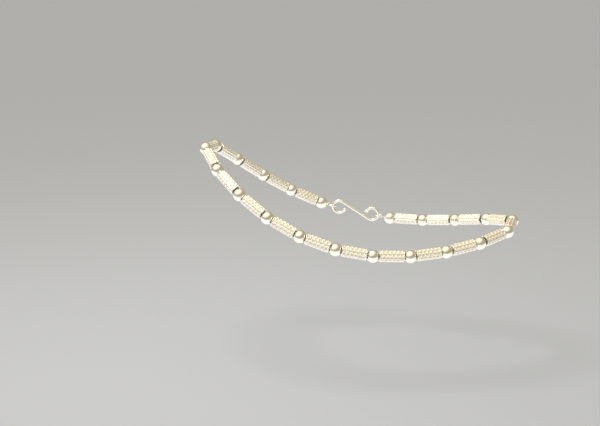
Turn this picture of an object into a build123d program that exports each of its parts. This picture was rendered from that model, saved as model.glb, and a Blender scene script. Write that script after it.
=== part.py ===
"""Payal anklet: tube beads and ball beads strung on a wire and closed by an S-hook.

Millimetres, +Z up. The origin is the middle of the opening that the ankle goes through.
The front of the ankle lies towards -X, the heel towards +X and the clasp on the +Y side.
"""
import os
from math import asin, cos, degrees, pi, radians, sin, tan

from build123d import *

os.makedirs("parts", exist_ok=True)

# The loop, as it lies round the ankle
loop_half_length = 52.0    # front to heel
loop_half_width = 26.0     # side to side
front_fullness = 0.15      # how much wider than an ellipse the front is, as a share
front_lift = 11.5          # the front sits this much above the middle, the heel below it
side_droop = 8.5           # front and heel up by this much, both sides down by it
low_wave = 1.0             # third wave of the height: front up and heel down by this much
first_ball_angle = radians(286.5)

# Beads
ball_count = 21
bead_pitch = 12.0          # from one ball's centre to the next
ball_diameter = 4.2
ball_wall = 0.3
ball_hole = 1.4
tube_length = 8.0
tube_diameter = 3.7
tube_bore = 2.9
tube_chamfer = 0.15

# Stringing wire
wire_diameter = 0.6
wire_bend = 3.0            # radius of its bends at the mouths of the balls
eye_radius = 1.3           # of the wire's middle line round an end eye

# S-hook
hook_wire = 1.0
hook_radius = 2.2          # of the wire's middle line round each end
hook_tip = 1.3             # diameter of the small balls on its tips
tip_angle = 165.0          # degrees round the end, from its outermost point to the tip
eye_play = 0.15            # between an eye and the hook that pulls on it
stem_length = 0.4          # of bare wire between an end ball and its eye

ball_radius = ball_diameter / 2


def loop_point(angle):
    """Point of the loop's middle line: angle 0 is the front, pi the heel."""
    width = loop_half_width * (1 + front_fullness * cos(angle))
    height = front_lift * cos(angle) + side_droop * cos(2 * angle) + low_wave * cos(3 * angle)
    return Vector(-loop_half_length * cos(angle), -width * sin(angle), height)


def angle_after(angle, distance):
    """Angle of the next point that is this far, in a straight line, from the one at angle."""
    start = loop_point(angle)
    low, high = angle, angle + pi / 3
    while high - low > 1e-9:
        middle = (low + high) / 2
        if (loop_point(middle) - start).length < distance:
            low = middle
        else:
            high = middle
    return low


# Ball centres, round the loop from one side of the clasp to the other
ball_angles = [first_ball_angle]
while len(ball_angles) < ball_count:
    ball_angles.append(angle_after(ball_angles[-1], bead_pitch))
ball_centres = [loop_point(angle) for angle in ball_angles]

# The straight runs from ball to ball, and the one across the clasp before them and after
closing_run = ball_centres[0] - ball_centres[-1]
runs = [after - before for before, after in zip(ball_centres, ball_centres[1:])]
runs = [closing_run] + runs + [closing_run]
directions = [run.normalized() for run in runs]

# A ball's hole halves the turn between its two runs, and an end ball's leans towards the clasp
hole_axes = [(before + after).normalized() for before, after in zip(directions, directions[1:])]
for end in (0, -1):
    hole_axes[end] = (hole_axes[end] + directions[end]).normalized()

# Balls: hollow, with a hole through both sides
for number, (centre, axis) in enumerate(zip(ball_centres, hole_axes), start=1):
    with BuildPart(Plane(origin=centre, z_dir=axis)) as ball:
        Sphere(ball_radius)
        Sphere(ball_radius - ball_wall, mode=Mode.SUBTRACT)
        Cylinder(ball_hole / 2, ball_diameter, mode=Mode.SUBTRACT)
    ball.part.label = f"ball_{number:02d}"
    export_step(ball.part, f"parts/{ball.part.label}.step")

# Tubes: one on each run, its ends a little way off the balls
for number, (before, after) in enumerate(zip(ball_centres, ball_centres[1:]), start=1):
    with BuildPart(Plane(origin=(before + after) / 2, z_dir=after - before)) as tube:
        Cylinder(tube_diameter / 2, tube_length)
        Hole(tube_bore / 2)
        outer_rims = tube.edges().filter_by(GeomType.CIRCLE).sort_by(SortBy.RADIUS)[-2:]
        chamfer(outer_rims, tube_chamfer)
    tube.part.label = f"tube_{number:02d}"
    export_step(tube.part, f"parts/{tube.part.label}.step")

# Where the clasp lies: along the closing run, flat against the ankle
clasp_middle = (ball_centres[0] + ball_centres[-1]) / 2
clasp_side = closing_run.cross(Vector(0, 0, 1)).normalized()
hook_plane = Plane(origin=clasp_middle, x_dir=closing_run, z_dir=clasp_side)
eye_axis = hook_plane.y_dir

# Along the closing run, from the clasp's middle outwards
eye_outer_radius = eye_radius + wire_diameter / 2
eye_place = closing_run.length / 2 - ball_radius - stem_length - eye_outer_radius
hook_reach = eye_place - eye_radius + wire_diameter / 2 + eye_play + hook_wire / 2
hook_centre = hook_reach - hook_radius

# Stringing wire: bent at the balls' mouths, and straight from an eye to the middle of its ball
eye_centres = [clasp_middle + directions[0] * eye_place, clasp_middle - directions[0] * eye_place]
route = [eye_centres[0] + directions[0] * eye_radius]
for centre, axis in zip(ball_centres, hole_axes):
    route += [centre - axis * ball_radius, centre + axis * ball_radius]
route.append(eye_centres[1] - directions[0] * eye_radius)
route[1], route[-2] = ball_centres[0], ball_centres[-1]

with BuildPart() as string_wire:
    with BuildLine() as wire_line:
        start = route[0]
        for before, corner, after in zip(route, route[1:], route[2:]):
            towards = (corner - before).normalized()
            away = (after - corner).normalized()
            reach = wire_bend * tan(radians(towards.get_angle(away)) / 2)
            Line(start, corner - towards * reach)
            TangentArc(corner - towards * reach, corner + away * reach, tangent=towards)
            start = corner + away * reach
        Line(start, route[-1])
    with BuildSketch(Plane(origin=wire_line.line @ 0, z_dir=wire_line.line % 0)):
        Circle(wire_diameter / 2)
    sweep(path=wire_line.line)
    for eye_centre in eye_centres:
        with Locations(Plane(origin=eye_centre, z_dir=eye_axis)):
            Torus(eye_radius, wire_diameter / 2)
string_wire.part.label = "string_wire"
export_step(string_wire.part, "parts/string_wire.step")

# S-hook: two round ends joined by a slanting bar, with a small ball on each tip
bar_slope = degrees(asin(hook_radius / hook_centre))
end_arc = 90 + bar_slope + tip_angle

with BuildPart() as s_hook:
    with BuildLine(hook_plane) as hook_line:
        far_end = CenterArc((-hook_centre, 0), hook_radius, 180 - tip_angle, end_arc)
        near_end = CenterArc((hook_centre, 0), hook_radius, 90 + bar_slope, -end_arc)
        Line(far_end @ 1, near_end @ 0)
    with BuildSketch(Plane(origin=hook_line.line @ 0, z_dir=hook_line.line % 0)):
        Circle(hook_wire / 2)
    sweep(path=hook_line.line)
    with Locations(hook_line.line @ 0, hook_line.line @ 1):
        Sphere(hook_tip / 2)
s_hook.part.label = "s_hook"
export_step(s_hook.part, "parts/s_hook.step")
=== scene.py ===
"""Silver payal anklet: embossed tube beads and polished ball beads on a wire, with an S-hook.

Metres, +Z up, in the frame of the CAD model, whose ball and tube nodes give every bead its
place. The ankle goes through the origin: its front is towards -X and the clasp is on the +Y side.
"""

from math import acos, asin, atan2, cos, hypot, pi, radians, sin, tan

import bmesh
import bpy
from bpy.props import FloatProperty, FloatVectorProperty, IntProperty, PointerProperty
from mathutils import Matrix, Vector


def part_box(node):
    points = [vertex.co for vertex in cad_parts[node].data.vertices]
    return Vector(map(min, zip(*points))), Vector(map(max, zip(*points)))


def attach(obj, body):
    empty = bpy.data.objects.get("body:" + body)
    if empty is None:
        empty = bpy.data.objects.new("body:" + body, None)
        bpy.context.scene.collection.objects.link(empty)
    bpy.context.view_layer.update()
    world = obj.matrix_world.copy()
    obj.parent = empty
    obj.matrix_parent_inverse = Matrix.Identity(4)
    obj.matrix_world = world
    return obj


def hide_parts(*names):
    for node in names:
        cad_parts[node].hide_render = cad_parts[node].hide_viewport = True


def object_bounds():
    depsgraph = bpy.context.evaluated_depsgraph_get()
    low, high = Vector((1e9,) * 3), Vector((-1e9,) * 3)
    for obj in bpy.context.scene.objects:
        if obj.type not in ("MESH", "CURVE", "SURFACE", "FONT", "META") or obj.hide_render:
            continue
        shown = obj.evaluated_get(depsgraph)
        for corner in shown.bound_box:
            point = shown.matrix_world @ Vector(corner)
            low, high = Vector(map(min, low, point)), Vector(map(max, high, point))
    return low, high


bl_info = {
    "name": "Payal anklet",
    "version": (1, 0, 0),
    "blender": (4, 5, 0),
    "location": "3D View > Sidebar > Anklet",
    "description": "Models the beads, the wire and the clasp of a silver anklet on its CAD frame",
    "category": "Object",
}

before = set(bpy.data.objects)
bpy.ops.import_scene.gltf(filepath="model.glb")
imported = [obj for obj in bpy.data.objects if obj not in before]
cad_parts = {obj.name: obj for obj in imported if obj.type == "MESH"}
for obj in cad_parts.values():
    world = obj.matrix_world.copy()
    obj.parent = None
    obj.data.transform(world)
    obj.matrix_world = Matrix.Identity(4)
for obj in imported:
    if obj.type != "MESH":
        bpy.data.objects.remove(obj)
CAD_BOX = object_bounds()

MM = 0.001
MERGE_DISTANCE = 0.0001 * MM    # corners closer than this are one corner
SMOOTH_ANGLE = radians(35)      # sharper edges than this stay sharp


# ---------------------------------------------------------------------------------------------
# Where the beads lie, from the CAD nodes
# ---------------------------------------------------------------------------------------------

def box_middle(node):
    """Middle of a CAD node's box."""
    low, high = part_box(node)
    return (low + high) / 2


BALL_NODES = sorted(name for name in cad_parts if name.startswith("ball_"))
TUBE_NODES = sorted(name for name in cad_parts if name.startswith("tube_"))
BALL_CENTRES = [box_middle(node) for node in BALL_NODES]

# Straight runs from ball to ball, with the one across the clasp before them and after
CLOSING_RUN = BALL_CENTRES[0] - BALL_CENTRES[-1]
BEAD_RUNS = [after - before for before, after in zip(BALL_CENTRES, BALL_CENTRES[1:])]
RUN_DIRECTIONS = [run.normalized() for run in [CLOSING_RUN, *BEAD_RUNS, CLOSING_RUN]]

# A ball's hole halves the turn between its two runs, and an end ball's leans towards the clasp
HOLE_AXES = [(a + b).normalized() for a, b in zip(RUN_DIRECTIONS, RUN_DIRECTIONS[1:])]
for end in (0, -1):
    HOLE_AXES[end] = (HOLE_AXES[end] + RUN_DIRECTIONS[end]).normalized()

# The clasp lies on the closing run: its hook flat against the ankle, the wire's eyes across it
CLASP_MIDDLE = (BALL_CENTRES[0] + BALL_CENTRES[-1]) / 2
CLASP_SIDE = CLOSING_RUN.cross(Vector((0, 0, 1))).normalized()
EYE_AXIS = CLASP_SIDE.cross(RUN_DIRECTIONS[0])


# ---------------------------------------------------------------------------------------------
# Settings
# ---------------------------------------------------------------------------------------------

def linear(hex_colour):
    """An sRGB hex colour as linear red, green and blue."""
    parts = [int(hex_colour[i:i + 2], 16) / 255 for i in (0, 2, 4)]
    return tuple(c / 12.92 if c <= 0.04045 else ((c + 0.055) / 1.055) ** 2.4 for c in parts)


def size(name, description, millimetres):
    """A length setting, given in millimetres and kept in metres."""
    return FloatProperty(
        name=name, description=description, default=millimetres * MM, unit="LENGTH", precision=6)


def colour(name, description, hex_colour):
    """A colour setting."""
    return FloatVectorProperty(
        name=name, description=description, default=linear(hex_colour), subtype="COLOR",
        size=3, min=0, max=1)


class AnkletTubeSettings(bpy.types.PropertyGroup):
    """The tube beads and the pits that texture them. Runs and falls follow a pit's side down."""
    rows: IntProperty(name="Rows", description="Rows of pits round the tube", default=12)
    pits: IntProperty(name="Pits", description="Pits along one row", default=6)
    length: size("Length", "Length of the tube, rims included", 8.0)
    radius: size("Radius", "From the tube's axis to the ridges between its rows", 1.85)
    bore_radius: size("Bore radius", "Of the hole through the tube", 1.45)
    rim_length: size("Rim length", "Of the plain turned rim at each end", 0.1)
    rim_radius: size("Rim radius", "Of the plain rims", 1.72)
    rim_edge: size("Rim edge", "Width of the rims' rounded edges", 0.04)
    zigzag: FloatProperty(
        name="Zigzag", description="How far the ridges between rows step aside at each pit",
        default=radians(1), subtype="ANGLE")
    dip: size("Dip", "How far the ridges across a row sag between the ones along it", 0.1)
    stretch: FloatProperty(
        name="Stretch", description="Length of the tube while its pits are pressed, in bead lengths",
        default=1.4)
    lip_run: size("Lip run", "Width of the rounded lip round a pit", 0.19)
    lip_fall: size("Lip fall", "Fall of the lip", 0.085)
    slope_run: size("Slope run", "Width of the slope below the lip", 0.05)
    slope_fall: size("Slope fall", "Fall of the slope", 0.035)
    wall_run: size("Wall run", "Width of the steep wall below the slope", 0.05)
    wall_fall: size("Wall fall", "Fall of the wall", 0.06)
    floor_run: size("Floor run", "Width of the hollow floor's edge", 0.09)
    floor_fall: size("Floor fall", "Fall of the hollow floor", 0.02)


class AnkletBallSettings(bpy.types.PropertyGroup):
    """The ball beads."""
    radius: size("Radius", "Outside radius of the ball", 2.1)
    wall: size("Wall", "Thickness of the silver", 0.3)
    hole_radius: size("Hole radius", "Of the holes that the wire goes through", 0.7)
    hole_edge: size("Hole edge", "Width of the holes' rounded edges", 0.06)


class AnkletWireSettings(bpy.types.PropertyGroup):
    """The stringing wire and its two eyes."""
    radius: size("Radius", "Of the stringing wire", 0.3)
    bend: size("Bend", "Radius of its bends at the mouths of the balls", 3.0)
    eye_radius: size("Eye radius", "Of the wire's middle line round an end eye", 1.3)
    neck_bend: size("Neck bend", "Radius of the bend where an eye begins", 0.5)
    eye_gap: size("Eye gap", "Between the eye's cut end and its neck", 0.08)
    stem: size("Stem", "Bare wire between an end ball and its eye", 0.4)
    cut_edge: size("Cut edge", "Width of the rounding of the cut ends", 0.08)


class AnkletHookSettings(bpy.types.PropertyGroup):
    """The S-hook."""
    radius: size("Radius", "Of the hook's wire", 0.5)
    end_radius: size("End radius", "Of the wire's middle line round each end", 2.2)
    tip_radius: size("Tip radius", "Of the small balls on its tips", 0.65)
    play: size("Play", "Between the hook and the eye that it pulls on", 0.15)
    tip_angle: FloatProperty(
        name="Tip angle", description="Round an end, from its outermost point to the tip",
        default=radians(165), subtype="ANGLE")


class AnkletFinishSettings(bpy.types.PropertyGroup):
    """The colours of the silver, and the sizes of what marks it."""
    bright: colour("Bright silver", "Freshly polished silver", "FCF9F0")
    worn: colour("Worn silver", "Silver with a first thin warm tarnish", "EDE5D2")
    # Also the colour of the painted shade in the tubes' pits, along with their tarnish
    tarnish: colour("Tarnish", "Tarnish left in the tubes' pits", "CBBC98")
    patch: size("Patch", "Size of the tarnish's patches, about that of a pit", 1.2)
    smudge: size("Smudge", "Size of the smudges on polished silver", 2.5)
    grain: size("Satin grain", "Spacing of the satin's grain", 0.1)
    hairline: size("Hairline", "Spacing of the hairlines on polished silver", 0.08)


class AnkletStageSettings(bpy.types.PropertyGroup):
    """The floor, the lights and the camera."""
    floor: colour("Floor", "Pale matt floor", "B8BFCF")
    tooth: size("Paper tooth", "Size of the unevenness of the floor's paper", 1.5)
    backdrop: colour("Backdrop", "Pale wall beyond the floor", "D8D6D2")
    room: colour("Room", "Walls of the studio, as the silver mirrors them", "B0A795")
    ceiling: colour("Ceiling", "The broad soft light overhead", "FFF6E0")
    ceiling_strength: FloatProperty(
        name="Ceiling strength", description="Of the broad soft light", default=1.25)
    softbox_power: FloatProperty(
        name="Softbox power", description="Of the small round light above", default=0.42,
        unit="POWER")
    softbox_width: size("Softbox width", "Across the small round light above", 120)
    softbox_colour: colour("Softbox colour", "Of the small round light above", "FFF6E6")
    table_power: FloatProperty(
        name="Light table power", description="Of the broad light below", default=0.58,
        unit="POWER")
    table_width: size("Light table width", "Of the broad light below, from side to side", 1000)
    table_depth: size("Light table depth", "Of the broad light below, from front to back", 360)
    drop: size("Floor drop", "From the lowest bead down to the floor", 43)
    distance: size("Camera distance", "From the origin to the camera", 350)
    azimuth: FloatProperty(
        name="Camera azimuth", description="Round +Z, from -Y towards +X",
        default=radians(1.4), subtype="ANGLE")
    elevation: FloatProperty(
        name="Camera elevation", description="Above the horizon",
        default=radians(14), subtype="ANGLE")
    lens: FloatProperty(name="Lens", description="Focal length in millimetres", default=62.04)


# ---------------------------------------------------------------------------------------------
# Modelling by hand, as short steps
# ---------------------------------------------------------------------------------------------

def begin_edit():
    """Go into edit mode on the active piece."""
    bpy.ops.object.mode_set(mode="EDIT")


def end_edit():
    """Go back to object mode."""
    bpy.ops.object.mode_set(mode="OBJECT")


def clear_selection():
    """Deselect every object, the CAD nodes too."""
    bpy.ops.object.select_all(action="DESELECT")


def pick(kind, test):
    """In edit mode, select only the vertices, edges or faces that pass a test."""
    bpy.ops.mesh.select_mode(type=kind)
    bpy.ops.mesh.select_all(action="DESELECT")
    data = bpy.context.object.data
    mesh = bmesh.from_edit_mesh(data)
    for element in {"VERT": mesh.verts, "EDGE": mesh.edges, "FACE": mesh.faces}[kind]:
        if test(element):
            element.select_set(True)
    mesh.select_flush_mode()
    bmesh.update_edit_mesh(data)


def middle(edge):
    """Middle of an edge."""
    return (edge.verts[0].co + edge.verts[1].co) / 2


def tidy_mesh():
    """In edit mode, close the seams and turn every face outwards."""
    bpy.ops.mesh.select_all(action="SELECT")
    bpy.ops.mesh.remove_doubles(threshold=MERGE_DISTANCE)
    bpy.ops.mesh.normals_make_consistent(inside=False)


def apply_modifier(piece, kind, **settings):
    """Finish a piece with one modifier, applied at once."""
    modifier = piece.modifiers.new(kind.title(), kind)
    for name, value in settings.items():
        setattr(modifier, name, value)
    bpy.ops.object.modifier_apply(modifier=modifier.name)


def smooth(piece):
    """Smooth shading, with the sharp edges kept."""
    clear_selection()
    piece.select_set(True)
    bpy.context.view_layer.objects.active = piece
    bpy.ops.object.shade_smooth_by_angle(angle=SMOOTH_ANGLE)


def facing(direction):
    """Turn that takes +Z to a direction."""
    return direction.to_track_quat("Z", "Y").to_matrix().to_4x4()


def settle(piece, place):
    """Move a piece to its place, in its mesh, so that its object stays at the origin."""
    clear_selection()
    piece.select_set(True)
    bpy.context.view_layer.objects.active = piece
    piece.matrix_world = place
    bpy.ops.object.transform_apply(location=True, rotation=True, scale=True)


def lay_copy(pattern, name, place):
    """A copy of the pattern with a mesh of its own, in its place."""
    piece = pattern.copy()
    piece.data = pattern.data.copy()
    piece.name = piece.data.name = name
    bpy.context.collection.objects.link(piece)
    settle(piece, place)
    return piece


def finish_piece(piece, material, slot, *nodes):
    """Give a piece its finish, and let it stand for its CAD nodes."""
    piece.data.materials.clear()
    piece.data.materials.append(material)
    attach(piece, "root")
    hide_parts(*nodes)


# Wire work: a ring of wire section is drawn out straight, bent round, or swelled into a tip

def wire_section(name, centre, direction, radius, sides):
    """Start a wire with one ring of its section, and stay in edit mode."""
    clear_selection()
    bpy.ops.mesh.primitive_circle_add(
        vertices=sides, radius=radius, fill_type="NOTHING", location=centre,
        rotation=direction.to_track_quat("Z", "Y").to_euler())
    wire = bpy.context.object
    wire.name = wire.data.name = name
    bpy.ops.object.transform_apply(location=True, rotation=True, scale=True)
    begin_edit()
    bpy.ops.mesh.select_mode(type="EDGE")
    bpy.ops.mesh.select_all(action="SELECT")
    return wire


def draw_straight(move):
    """Draw the wire out in a straight line."""
    bpy.ops.mesh.extrude_region_move(TRANSFORM_OT_translate={"value": move})


def draw_round(centre, axis, angle, steps):
    """Bend the wire round a centre, right-handed about the axis."""
    bpy.ops.mesh.spin(
        steps=steps, angle=-angle, center=centre, axis=axis, use_auto_merge=False)


def swell(moves):
    """Draw the wire out ring by ring, scaling each new ring."""
    for move, scale in moves:
        draw_straight(move)
        bpy.ops.transform.resize(value=(scale, scale, scale))


def cap_ends(edge_width):
    """Close the wire's open ends with flat cuts, and round their edges."""
    bpy.ops.mesh.select_all(action="SELECT")
    bpy.ops.mesh.fill_holes(sides=0)
    tidy_mesh()
    if edge_width:
        pick("FACE", lambda face: len(face.verts) > 4)
        bpy.ops.mesh.region_to_loop()
        bpy.ops.mesh.bevel(offset=edge_width, segments=3)


# ---------------------------------------------------------------------------------------------
# Finishes
# ---------------------------------------------------------------------------------------------

def add_node(tree, kind, settings=None, **sockets):
    """Add a node with its settings. A socket is given another node's output or a plain value.

    Sockets go by their names, with _ for a space, or by their numbers, such as i0.
    """
    node = tree.nodes.new(kind)
    for name, value in (settings or {}).items():
        setattr(node, name, value)
    for name, value in sockets.items():
        number = name[1:]
        socket = node.inputs[int(number) if number.isdigit() else name.replace("_", " ")]
        if isinstance(value, bpy.types.NodeSocket):
            tree.links.new(value, socket)
        else:
            socket.default_value = value
    return node


def new_material(name):
    """An empty node material, with its tree and its output node."""
    material = bpy.data.materials.new(name)
    material.use_nodes = True
    material.node_tree.nodes.clear()
    output = add_node(material.node_tree, "ShaderNodeOutputMaterial")
    return material, material.node_tree, output


def rgba(values):
    """A colour as a shader takes it, fully opaque."""
    return (*values, 1.0)


def embossed_satin_silver():
    """Sterling silver, embossed between rollers, given a satin finish, then worn.

    The satin spreads the light, so the tubes look whiter than the polished balls. The ridges
    are burnished by wear. The pits are duller, and are mixed towards a warm tarnish colour, the
    more the deeper: tarnish and painted shade, which draws the pattern.
    """
    finish = bpy.context.scene.anklet_finish
    material, tree, output = new_material("embossed_satin_sterling_silver")
    place = add_node(tree, "ShaderNodeTexCoord").outputs["Object"]
    relief = add_node(tree, "ShaderNodeAttribute", {"attribute_name": "relief"}).outputs["Fac"]

    # Tarnish and painted shade in the pits, darker the deeper and stronger in patches, and the skin
    # between them is worn in patches
    patches = add_node(
        tree, "ShaderNodeTexNoise", Vector=place, Scale=1 / finish.patch, Detail=3.0,
        Roughness=0.55).outputs["Fac"]
    depth = add_node(
        tree, "ShaderNodeMapRange", Value=relief, From_Min=0.0, From_Max=0.35, To_Min=1.0,
        To_Max=0.0).outputs["Result"]
    patch_strength = add_node(
        tree, "ShaderNodeMapRange", Value=patches, From_Min=0.35, From_Max=0.65, To_Min=0.55,
        To_Max=1.0).outputs["Result"]
    # Painted shade with tarnish: strongest at the pits' bottoms, gone a third of the way up,
    # stronger in patches
    tarnish = add_node(
        tree, "ShaderNodeMath", {"operation": "MULTIPLY", "use_clamp": True},
        i0=depth, i1=patch_strength).outputs[0]
    wear = add_node(
        tree, "ShaderNodeMapRange", Value=patches, From_Min=0.45, From_Max=0.8, To_Min=0.0,
        To_Max=0.6).outputs["Result"]
    skin = add_node(
        tree, "ShaderNodeMix", {"data_type": "RGBA"}, i0=wear, i6=rgba(finish.bright),
        i7=rgba(finish.worn)).outputs[2]
    # The pits are mixed towards the tarnish colour: tarnish and painted shade
    base = add_node(
        tree, "ShaderNodeMix", {"data_type": "RGBA"}, i0=tarnish, i6=skin,
        i7=rgba(finish.tarnish)).outputs[2]
    roughness = add_node(
        tree, "ShaderNodeMapRange", Value=relief, From_Min=0.4, From_Max=0.85, To_Min=0.6,
        To_Max=0.38).outputs["Result"]

    # The satin's grain, drawn coarser than the real one so that it shows
    grain = add_node(
        tree, "ShaderNodeTexNoise", Vector=place, Scale=1 / finish.grain, Detail=3.0,
        Roughness=0.6).outputs["Fac"]
    bump = add_node(
        tree, "ShaderNodeBump", Height=grain, Strength=0.4, Distance=0.03 * MM).outputs[0]
    shader = add_node(
        tree, "ShaderNodeBsdfPrincipled", Metallic=1.0, Base_Color=base, Roughness=roughness,
        Normal=bump)
    tree.links.new(shader.outputs[0], output.inputs[0])
    return material


def bright_silver(name, clear, smudged):
    """Bright sterling silver, buffed on a wheel or drawn through a die.

    It mirrors the room, with a slightly soft edge to its highlights. Smudges dull it in
    patches, from its clear roughness to its smudged one, and hairlines left by wear and by
    polishing cloths run over it at random.
    """
    finish = bpy.context.scene.anklet_finish
    material, tree, output = new_material(name)
    place = add_node(tree, "ShaderNodeTexCoord").outputs["Object"]
    smudges = add_node(
        tree, "ShaderNodeTexNoise", Vector=place, Scale=1 / finish.smudge, Detail=3.0,
        Roughness=0.6).outputs["Fac"]
    roughness = add_node(
        tree, "ShaderNodeMapRange", Value=smudges, From_Min=0.35, From_Max=0.7,
        To_Min=clear, To_Max=smudged).outputs["Result"]
    warmth = add_node(
        tree, "ShaderNodeMapRange", Value=smudges, From_Min=0.4, From_Max=0.75, To_Min=0.0,
        To_Max=0.5).outputs["Result"]
    base = add_node(
        tree, "ShaderNodeMix", {"data_type": "RGBA"}, i0=warmth, i6=rgba(finish.bright),
        i7=rgba(finish.worn)).outputs[2]

    # Hairlines: noise drawn out long and thin, and coarser than real ones so that they show
    drawn_out = add_node(
        tree, "ShaderNodeMapping", Vector=place, Rotation=(0.5, 0.9, 0.3),
        Scale=(1.0, 1.0, 0.06)).outputs[0]
    hairlines = add_node(
        tree, "ShaderNodeTexNoise", Vector=drawn_out, Scale=1 / finish.hairline, Detail=2.0,
        Roughness=0.5, Distortion=0.4).outputs["Fac"]
    bump = add_node(
        tree, "ShaderNodeBump", Height=hairlines, Strength=0.05, Distance=0.01 * MM).outputs[0]
    shader = add_node(
        tree, "ShaderNodeBsdfPrincipled", Metallic=1.0, Base_Color=base, Roughness=roughness,
        Normal=bump)
    tree.links.new(shader.outputs[0], output.inputs[0])
    return material


def seamless_paper():
    """Seamless background paper: plain, pale and matt, with the faint tooth of its fibres."""
    stage = bpy.context.scene.anklet_stage
    material, tree, output = new_material("seamless_paper")
    place = add_node(tree, "ShaderNodeTexCoord").outputs["Object"]
    tooth = add_node(
        tree, "ShaderNodeTexNoise", Vector=place, Scale=1 / stage.tooth,
        Detail=3.0).outputs["Fac"]
    bump = add_node(
        tree, "ShaderNodeBump", Height=tooth, Strength=0.05, Distance=0.05 * MM).outputs[0]
    shader = add_node(
        tree, "ShaderNodeBsdfPrincipled", Base_Color=rgba(stage.floor), Roughness=0.9,
        Specular_IOR_Level=0.2, Normal=bump)
    tree.links.new(shader.outputs[0], output.inputs[0])
    return material


# ---------------------------------------------------------------------------------------------
# Tube beads
# ---------------------------------------------------------------------------------------------

def model_tube(tube):
    """One tube bead, upright at the origin, pressed all over with staggered rows of pits."""
    rows, cuts = tube.rows, 2 * tube.pits - 1
    textured_length = tube.length - 2 * tube.rim_length
    drawn_length = textured_length * tube.stretch
    cell = drawn_length / (cuts + 1)

    # Rings are counted along the tube from its lower end, rows and corners round it from +X
    def ring_at(point):
        return round((point.z + drawn_length / 2) / cell)

    def row_at(point):
        return int(atan2(point.y, point.x) % (2 * pi) / (2 * pi / rows))

    def corner_at(point):
        return round(atan2(point.y, point.x) / (2 * pi / rows))

    def crosses(edge):
        return abs(edge.verts[0].co.z - edge.verts[1].co.z) < MERGE_DISTANCE

    def inside(point):
        return 0 < ring_at(point) < cuts + 1

    def sags(point):
        return hypot(point.x, point.y) < tube.radius - MERGE_DISTANCE

    # A prism with a face for each row, longer than the bead, cut across into half cells
    clear_selection()
    bpy.ops.mesh.primitive_cylinder_add(
        vertices=rows, radius=tube.radius, depth=drawn_length, end_fill_type="NOTHING")
    pattern = bpy.context.object
    pattern.name = pattern.data.name = "tube_pattern"
    begin_edit()
    pick("EDGE", lambda edge: not crosses(edge))
    bpy.ops.mesh.subdivide(number_cuts=cuts)

    # Every other cut goes, one row against the next, which leaves staggered cells
    pick("EDGE", lambda edge: crosses(edge) and inside(middle(edge))
         and (ring_at(middle(edge)) + row_at(middle(edge))) % 2 == 1)
    bpy.ops.mesh.dissolve_edges(use_verts=False)

    # The cells' corners step aside in turn, which makes every cell widest at its middle
    for side in (0, 1):
        pick("VERT", lambda vert: inside(vert.co)
             and (ring_at(vert.co) + corner_at(vert.co)) % 2 == side)
        bpy.ops.transform.rotate(
            value=tube.zigzag * (2 * side - 1), orient_axis="Z", center_override=(0, 0, 0))

    # The ridges across a row get a sagging middle, so that the ones along it stand out
    pick("EDGE", lambda edge: crosses(edge) and inside(middle(edge)))
    bpy.ops.mesh.subdivide(number_cuts=1)
    pick("EDGE", lambda edge: not crosses(edge) and any(sags(vert.co) for vert in edge.verts))
    bpy.ops.mesh.dissolve_edges(use_verts=False)
    pick("VERT", lambda vert: sags(vert.co))
    sag = 1 - tube.dip / tube.radius
    bpy.ops.transform.resize(value=(sag, sag, 1), center_override=(0, 0, 0))

    # A pit is pressed into each cell, down from a rounded lip, and its neighbours' lips meet
    # in ridges along the rows
    bpy.ops.mesh.select_mode(type="FACE")
    bpy.ops.mesh.select_all(action="SELECT")
    bpy.ops.mesh.normals_make_consistent(inside=False)
    for run, fall in ((tube.lip_run, tube.lip_fall), (tube.slope_run, tube.slope_fall),
                      (tube.wall_run, tube.wall_fall), (tube.floor_run, tube.floor_fall)):
        bpy.ops.mesh.inset(thickness=run, depth=-fall, use_individual=True)
    end_edit()
    apply_modifier(pattern, "SUBSURF", levels=1, render_levels=1)

    # Brought to size across the ridges, and back to the bead's length
    crest = max(hypot(vert.co.x, vert.co.y) for vert in pattern.data.vertices)
    begin_edit()
    bpy.ops.mesh.select_all(action="SELECT")
    shrink = tube.radius / crest
    bpy.ops.transform.resize(
        value=(shrink, shrink, 1 / tube.stretch), center_override=(0, 0, 0))

    # Plain rims, turned round at both ends
    for end in (-1, 1):
        pick("EDGE", lambda edge: edge.is_boundary and middle(edge).z * end > 0)
        draw_straight((0, 0, 0))
        bpy.ops.transform.tosphere(value=1)
        turned = next(hypot(vert.co.x, vert.co.y)
                      for vert in bmesh.from_edit_mesh(pattern.data).verts if vert.select)
        inward = tube.rim_radius / turned
        bpy.ops.transform.resize(value=(inward, inward, 1), center_override=(0, 0, 0))
        draw_straight((0, 0, end * tube.rim_length))
        draw_straight((0, 0, 0))
        inward = tube.bore_radius / tube.rim_radius
        bpy.ops.transform.resize(value=(inward, inward, 1), center_override=(0, 0, 0))

    # The bore, drawn through from one rim to meet the other
    pick("EDGE", lambda edge: edge.is_boundary and middle(edge).z > 0)
    draw_straight((0, 0, -tube.length))
    tidy_mesh()

    # The turned edges are broken
    pick("EDGE", lambda edge: crosses(edge)
         and abs(middle(edge).z) > tube.length / 2 - MERGE_DISTANCE
         and edge.calc_face_angle(0) > SMOOTH_ANGLE)
    bpy.ops.mesh.bevel(offset=tube.rim_edge, segments=2)
    end_edit()
    smooth(pattern)
    mark_relief(pattern, tube)
    return pattern


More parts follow.
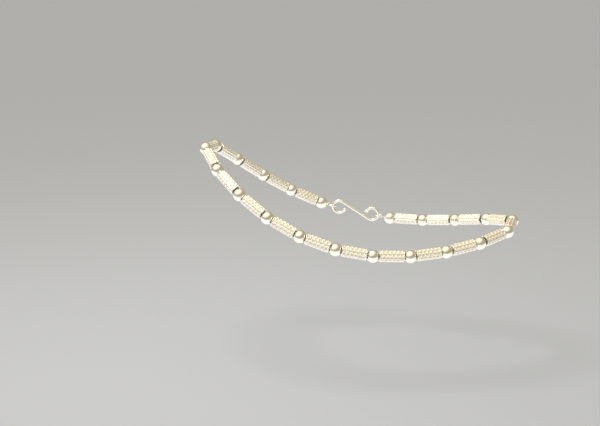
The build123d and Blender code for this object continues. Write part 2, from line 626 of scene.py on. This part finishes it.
def mark_relief(piece, tube):
    """Record how far each point stands out of the pits: 0 at their bottoms, 1 on the ridges.

    The plain rims and the bore count as ridges: they get the ridges' roughness and none of the pits'
    tarnish and painted shade.
    """
    data = piece.data
    texture_end = tube.length / 2 - tube.rim_length - MERGE_DISTANCE
    reach = [hypot(vert.co.x, vert.co.y) for vert in data.vertices]
    pressed = [abs(vert.co.z) < texture_end for vert in data.vertices]
    lowest = min(r for r, in_texture in zip(reach, pressed) if in_texture)
    relief = data.attributes.new("relief", "FLOAT", "POINT")
    values = [(r - lowest) / (tube.radius - lowest) if in_texture else 1.0
              for r, in_texture in zip(reach, pressed)]
    relief.data.foreach_set("value", values)


class ANKLET_OT_tubes(bpy.types.Operator):
    """Model the embossed tube beads, one on each run between two balls"""
    bl_idname = "anklet.tubes"
    bl_label = "Tube beads"

    def execute(self, context):
        tube = context.scene.anklet_tube
        pattern = model_tube(tube)
        material = embossed_satin_silver()

        # Each tube lies a golden turn round from the last, and every other one back to front
        golden_turn = pi * (3 - 5 ** 0.5)
        for index, node in enumerate(TUBE_NODES):
            midpoint = (BALL_CENTRES[index] + BALL_CENTRES[index + 1]) / 2
            axis = BEAD_RUNS[index] * (-1) ** index
            place = Matrix.Translation(midpoint) @ facing(axis)
            roll = Matrix.Rotation(index * golden_turn, 4, "Z")
            piece = lay_copy(pattern, f"bead_{node}", place @ roll)
            finish_piece(piece, material, "textured_tube_silver", node)
        bpy.data.objects.remove(pattern)
        return {"FINISHED"}


# ---------------------------------------------------------------------------------------------
# Ball beads
# ---------------------------------------------------------------------------------------------

def model_ball(ball):
    """One hollow ball bead at the origin, with its hole along Z."""
    clear_selection()
    bpy.ops.mesh.primitive_uv_sphere_add(segments=48, ring_count=32, radius=ball.radius)
    pattern = bpy.context.object
    pattern.name = pattern.data.name = "ball_pattern"

    # Both poles are drilled away, then the shell gets its wall
    hole_height = (ball.radius ** 2 - ball.hole_radius ** 2) ** 0.5
    begin_edit()
    for end in (-1, 1):
        bpy.ops.mesh.select_all(action="SELECT")
        bpy.ops.mesh.bisect(
            plane_co=(0, 0, end * hole_height), plane_no=(0, 0, end), clear_outer=True,
            threshold=MERGE_DISTANCE)
    tidy_mesh()
    end_edit()
    apply_modifier(pattern, "SOLIDIFY", thickness=ball.wall, offset=-1)
    begin_edit()
    pick("EDGE", lambda edge: edge.calc_face_angle(0) > SMOOTH_ANGLE)
    bpy.ops.mesh.bevel(offset=ball.hole_edge, segments=3)
    end_edit()
    smooth(pattern)
    return pattern


class ANKLET_OT_balls(bpy.types.Operator):
    """Model the hollow mirror-polished ball beads"""
    bl_idname = "anklet.balls"
    bl_label = "Ball beads"

    def execute(self, context):
        pattern = model_ball(context.scene.anklet_ball)
        material = bright_silver("mirror_polished_sterling_silver", clear=0.05, smudged=0.11)
        for centre, axis, node in zip(BALL_CENTRES, HOLE_AXES, BALL_NODES):
            piece = lay_copy(pattern, f"bead_{node}", Matrix.Translation(centre) @ facing(axis))
            finish_piece(piece, material, "polished_ball_silver", node)
        bpy.data.objects.remove(pattern)
        return {"FINISHED"}


# ---------------------------------------------------------------------------------------------
# Stringing wire
# ---------------------------------------------------------------------------------------------

def eye_place(wire):
    """From the clasp's middle to the middle of either eye."""
    ball_radius = bpy.context.scene.anklet_ball.radius
    return CLOSING_RUN.length / 2 - ball_radius - wire.stem - wire.eye_radius - wire.radius


def model_wire(wire, ball_radius):
    """The stringing wire: an eye bent at each end, and a run through every bead between."""
    sides, eye_steps, neck_steps, bend_steps = 12, 30, 6, 3
    forward = RUN_DIRECTIONS[0]
    across = EYE_AXIS.cross(forward)
    eyes = [CLASP_MIDDLE + forward * eye_place(wire), CLASP_MIDDLE - forward * eye_place(wire)]

    # An eye leaves its neck by a small bend against the eye's round
    neck_reach = ((wire.eye_radius + wire.neck_bend) ** 2 - wire.neck_bend ** 2) ** 0.5
    neck_angle = atan2(wire.neck_bend, neck_reach)
    to_neck = wire.eye_radius + wire.neck_bend
    to_cut = wire.neck_bend + wire.radius + wire.eye_gap
    cut_angle = acos((to_neck ** 2 + wire.eye_radius ** 2 - to_cut ** 2)
                     / (2 * to_neck * wire.eye_radius)) - neck_angle
    eye_turn = 2 * pi - neck_angle - cut_angle
    neck_turn = pi / 2 - neck_angle

    # The first eye, from its cut end back to the neck
    cut = forward * cos(cut_angle) - across * sin(cut_angle)
    piece = wire_section(
        "stringing_wire", eyes[0] + cut * wire.eye_radius, EYE_AXIS.cross(cut),
        wire.radius, sides)
    draw_round(eyes[0], EYE_AXIS, -eye_turn, eye_steps)
    neck_centre = eyes[0] + forward * neck_reach + across * wire.neck_bend
    draw_round(neck_centre, EYE_AXIS, neck_turn, neck_steps)

    # In at one side of every ball and out at the other, with a bend at each mouth. The clasp's
    # pull keeps it straight from an eye to the middle of the end ball.
    route = [eyes[0] + forward * neck_reach]
    for centre, axis in zip(BALL_CENTRES, HOLE_AXES):
        route += [centre - axis * ball_radius, centre + axis * ball_radius]
    route.append(eyes[1] - forward * neck_reach)
    route[1], route[-2] = BALL_CENTRES[0], BALL_CENTRES[-1]
    here = route[0]
    for before, corner, after in zip(route, route[1:], route[2:]):
        towards = (corner - before).normalized()
        away = (after - corner).normalized()
        turn = towards.angle(away)
        axis = towards.cross(away).normalized()
        bend_start = corner - towards * wire.bend * tan(turn / 2)
        draw_straight(bend_start - here)
        draw_round(bend_start + axis.cross(towards) * wire.bend, axis, turn, bend_steps)
        here = corner + away * wire.bend * tan(turn / 2)
    draw_straight(route[-1] - here)

    # The second eye, from its neck round to the cut end
    neck_centre = eyes[1] - forward * neck_reach + across * wire.neck_bend
    draw_round(neck_centre, EYE_AXIS, neck_turn, neck_steps)
    draw_round(eyes[1], EYE_AXIS, -eye_turn, eye_steps)
    cap_ends(wire.cut_edge)
    end_edit()
    smooth(piece)
    return piece


class ANKLET_OT_wire(bpy.types.Operator):
    """Draw the stringing wire through all the beads, with an eye at each end"""
    bl_idname = "anklet.wire"
    bl_label = "Stringing wire"

    def execute(self, context):
        scene = context.scene
        piece = model_wire(scene.anklet_wire, scene.anklet_ball.radius)
        # Drawn and never buffed, so its mirror is softer than the balls'
        material = bright_silver("drawn_silver_wire", clear=0.14, smudged=0.28)
        finish_piece(piece, material, "wire_silver", "string_wire")
        return {"FINISHED"}


# ---------------------------------------------------------------------------------------------
# S-hook
# ---------------------------------------------------------------------------------------------

def tip_rings(hook, count):
    """Angles from the pole of a tip ball to the rings that shape it, up to the wire's width."""
    last = pi - asin(hook.radius / hook.tip_radius)
    return [last * (index + 0.5) / (count + 0.5) for index in range(count)] + [last]


def model_hook(hook, hook_centre):
    """The S-hook, lying in the XY plane along X: two round ends, a bar and a ball on each tip."""
    sides, end_steps, ring_count = 20, 44, 8
    bar_slope = asin(hook.end_radius / hook_centre)
    rings = tip_rings(hook, ring_count)
    ball_reach = -hook.tip_radius * cos(rings[-1])
    start_angle = pi - hook.tip_angle + ball_reach / hook.end_radius
    end_turn = 3 * pi / 2 + bar_slope - start_angle

    # The first tip ball, from its pole to where it meets the wire
    left, right = Vector((-hook_centre, 0, 0)), Vector((hook_centre, 0, 0))
    out = Vector((cos(start_angle), sin(start_angle), 0))
    along = Vector((-out.y, out.x, 0))
    meeting = left + out * hook.end_radius
    ball_centre = meeting - along * ball_reach
    piece = wire_section(
        "s_hook_clasp", ball_centre - along * hook.tip_radius * cos(rings[0]), along,
        hook.tip_radius * sin(rings[0]), sides)
    tip_swell = [(along * hook.tip_radius * (cos(a) - cos(b)), sin(b) / sin(a))
                 for a, b in zip(rings, rings[1:])]
    swell(tip_swell)

    # One end, the slanting bar, the other end the other way round, and its tip ball
    draw_round(left, (0, 0, 1), end_turn, end_steps)
    bar_side = Vector((sin(bar_slope), -cos(bar_slope), 0)) * hook.end_radius
    draw_straight((right - bar_side) - (left + bar_side))
    draw_round(right, (0, 0, 1), -end_turn, end_steps)
    swell([(move, 1 / scale) for move, scale in reversed(tip_swell)])
    cap_ends(0)
    end_edit()
    smooth(piece)
    return piece


class ANKLET_OT_hook(bpy.types.Operator):
    """Bend the S-hook that links the two eyes of the wire"""
    bl_idname = "anklet.hook"
    bl_label = "S-hook"

    def execute(self, context):
        scene = context.scene
        hook, wire = scene.anklet_hook, scene.anklet_wire
        reach = eye_place(wire) - wire.eye_radius + wire.radius + hook.play + hook.radius
        piece = model_hook(hook, reach - hook.end_radius)
        axes = (RUN_DIRECTIONS[0], CLASP_SIDE.cross(RUN_DIRECTIONS[0]), CLASP_SIDE)
        turn = Matrix(axes).transposed().to_4x4()
        settle(piece, Matrix.Translation(CLASP_MIDDLE) @ turn)
        # Buffed by hand after bending, which leaves more smudges than the wheel does
        material = bright_silver("polished_silver_rod", clear=0.08, smudged=0.2)
        finish_piece(piece, material, "clasp_silver", "s_hook")
        return {"FINISHED"}


# ---------------------------------------------------------------------------------------------
# Stage
# ---------------------------------------------------------------------------------------------

GLOW_DIRECTION = Vector((-0.38, -0.22, 1)).normalized()    # of the broad light overhead
GLOW_FULL = radians(24)                 # from its middle out to here it is at full strength
GLOW_END = radians(73)                  # here it has faded into the walls
FLOOR_SIZE = 16.0                       # in metres, past the view on every side
SOFTBOX_PLACE = (-0.11, -0.07, 0.26)
SOFTBOX_TILT = (radians(14), radians(-23), 0)
TABLE_SETBACK = 0.05                    # of the light table's middle, behind the anklet's
TABLE_HEIGHT = 0.004                    # of the light table, above the floor
CAMERA_AIM = Vector((-20.4, 0, -2.1)) * MM


def light_room(stage):
    """The studio that the silver mirrors: dim warm walls under a broad soft light overhead.

    The camera itself sees a plain pale backdrop in place of the walls.
    """
    world = bpy.data.worlds.new("studio")
    world.use_nodes = True
    tree = world.node_tree
    tree.nodes.clear()
    direction = add_node(tree, "ShaderNodeTexCoord").outputs["Generated"]
    nearness = add_node(
        tree, "ShaderNodeVectorMath", {"operation": "DOT_PRODUCT"}, i0=direction,
        i1=GLOW_DIRECTION).outputs["Value"]
    light = add_node(
        tree, "ShaderNodeMapRange", {"interpolation_type": "SMOOTHSTEP"}, Value=nearness,
        From_Min=cos(GLOW_END), From_Max=cos(GLOW_FULL)).outputs["Result"]
    strength = add_node(
        tree, "ShaderNodeMapRange", Value=light, To_Min=1.0,
        To_Max=stage.ceiling_strength).outputs["Result"]
    tint = add_node(
        tree, "ShaderNodeMix", {"data_type": "RGBA"}, i0=light, i6=rgba(stage.room),
        i7=rgba(stage.ceiling)).outputs[2]
    room = add_node(tree, "ShaderNodeBackground", Color=tint, Strength=strength)
    backdrop = add_node(tree, "ShaderNodeBackground", Color=rgba(stage.backdrop), Strength=1.0)
    seen = add_node(tree, "ShaderNodeLightPath").outputs["Is Camera Ray"]
    both = add_node(
        tree, "ShaderNodeMixShader", i0=seen, i1=room.outputs[0], i2=backdrop.outputs[0])
    add_node(tree, "ShaderNodeOutputWorld", Surface=both.outputs[0])
    bpy.context.scene.world = world


def lay_floor(height):
    """The plain paper floor, at its height."""
    clear_selection()
    bpy.ops.mesh.primitive_plane_add(size=FLOOR_SIZE, location=(0, 0, height))
    floor = bpy.context.object
    floor.name = floor.data.name = "floor"
    floor.data.materials.append(seamless_paper())


def area_light(name, shape, place, tilt, width, power):
    """An area light, which shines down unless it is tilted."""
    bpy.ops.object.light_add(type="AREA", location=place, rotation=tilt)
    light = bpy.context.object
    light.name = name
    light.data.shape = shape
    light.data.size = width
    light.data.energy = power
    return light


def set_camera(stage):
    """The camera, looking slightly down at the side of the anklet away from the clasp."""
    azimuth, elevation = stage.azimuth, stage.elevation
    back = Vector((sin(azimuth) * cos(elevation), -cos(azimuth) * cos(elevation), sin(elevation)))
    bpy.ops.object.camera_add(location=back * stage.distance)
    camera = bpy.context.object
    camera.name = "camera"
    camera.data.lens = stage.lens
    camera.rotation_euler = (CAMERA_AIM - camera.location).to_track_quat("-Z", "Y").to_euler()
    bpy.context.scene.camera = camera


class ANKLET_OT_stage(bpy.types.Operator):
    """Lay the floor, hang the soft lights and set up the camera"""
    bl_idname = "anklet.stage"
    bl_label = "Stage"

    def execute(self, context):
        stage = context.scene.anklet_stage
        floor_height = CAD_BOX[0].z - stage.drop
        light_room(stage)
        lay_floor(floor_height)

        # A softbox above, and a light table below that brightens the undersides of the beads
        softbox = area_light(
            "softbox", "DISK", SOFTBOX_PLACE, SOFTBOX_TILT, stage.softbox_width,
            stage.softbox_power)
        softbox.data.color = stage.softbox_colour
        table = area_light(
            "light_table", "RECTANGLE", (0, TABLE_SETBACK, floor_height + TABLE_HEIGHT),
            (pi, 0, 0), stage.table_width, stage.table_power)
        table.data.size_y = stage.table_depth
        table.visible_camera = False

        set_camera(stage)
        context.scene.view_settings.view_transform = "Standard"
        return {"FINISHED"}


# ---------------------------------------------------------------------------------------------
# Add-on
# ---------------------------------------------------------------------------------------------

class VIEW3D_PT_anklet(bpy.types.Panel):
    """The anklet's pieces, in the order that they are made"""
    bl_idname = "VIEW3D_PT_anklet"
    bl_label = "Payal anklet"
    bl_space_type = "VIEW_3D"
    bl_region_type = "UI"
    bl_category = "Anklet"

    def draw(self, context):
        for operator in OPERATORS:
            self.layout.operator(operator.bl_idname)
        for name, group in SETTINGS.items():
            box = self.layout.box()
            for prop in group.__annotations__:
                box.prop(getattr(context.scene, name), prop)


SETTINGS = {
    "anklet_tube": AnkletTubeSettings,
    "anklet_ball": AnkletBallSettings,
    "anklet_wire": AnkletWireSettings,
    "anklet_hook": AnkletHookSettings,
    "anklet_finish": AnkletFinishSettings,
    "anklet_stage": AnkletStageSettings,
}
OPERATORS = (ANKLET_OT_tubes, ANKLET_OT_balls, ANKLET_OT_wire, ANKLET_OT_hook, ANKLET_OT_stage)


def register():
    """Register the classes, and give the scene their settings."""
    for cls in (*SETTINGS.values(), *OPERATORS, VIEW3D_PT_anklet):
        bpy.utils.register_class(cls)
    for name, group in SETTINGS.items():
        setattr(bpy.types.Scene, name, PointerProperty(type=group))


def unregister():
    """Take the settings and the classes away again."""
    for name in SETTINGS:
        delattr(bpy.types.Scene, name)
    for cls in (VIEW3D_PT_anklet, *reversed(OPERATORS), *reversed(SETTINGS.values())):
        bpy.utils.unregister_class(cls)


def main():
    """Make the anklet and its stage."""
    register()
    bpy.ops.anklet.tubes()
    bpy.ops.anklet.balls()
    bpy.ops.anklet.wire()
    bpy.ops.anklet.hook()
    bpy.ops.anklet.stage()


if __name__ == "__main__":
    main()
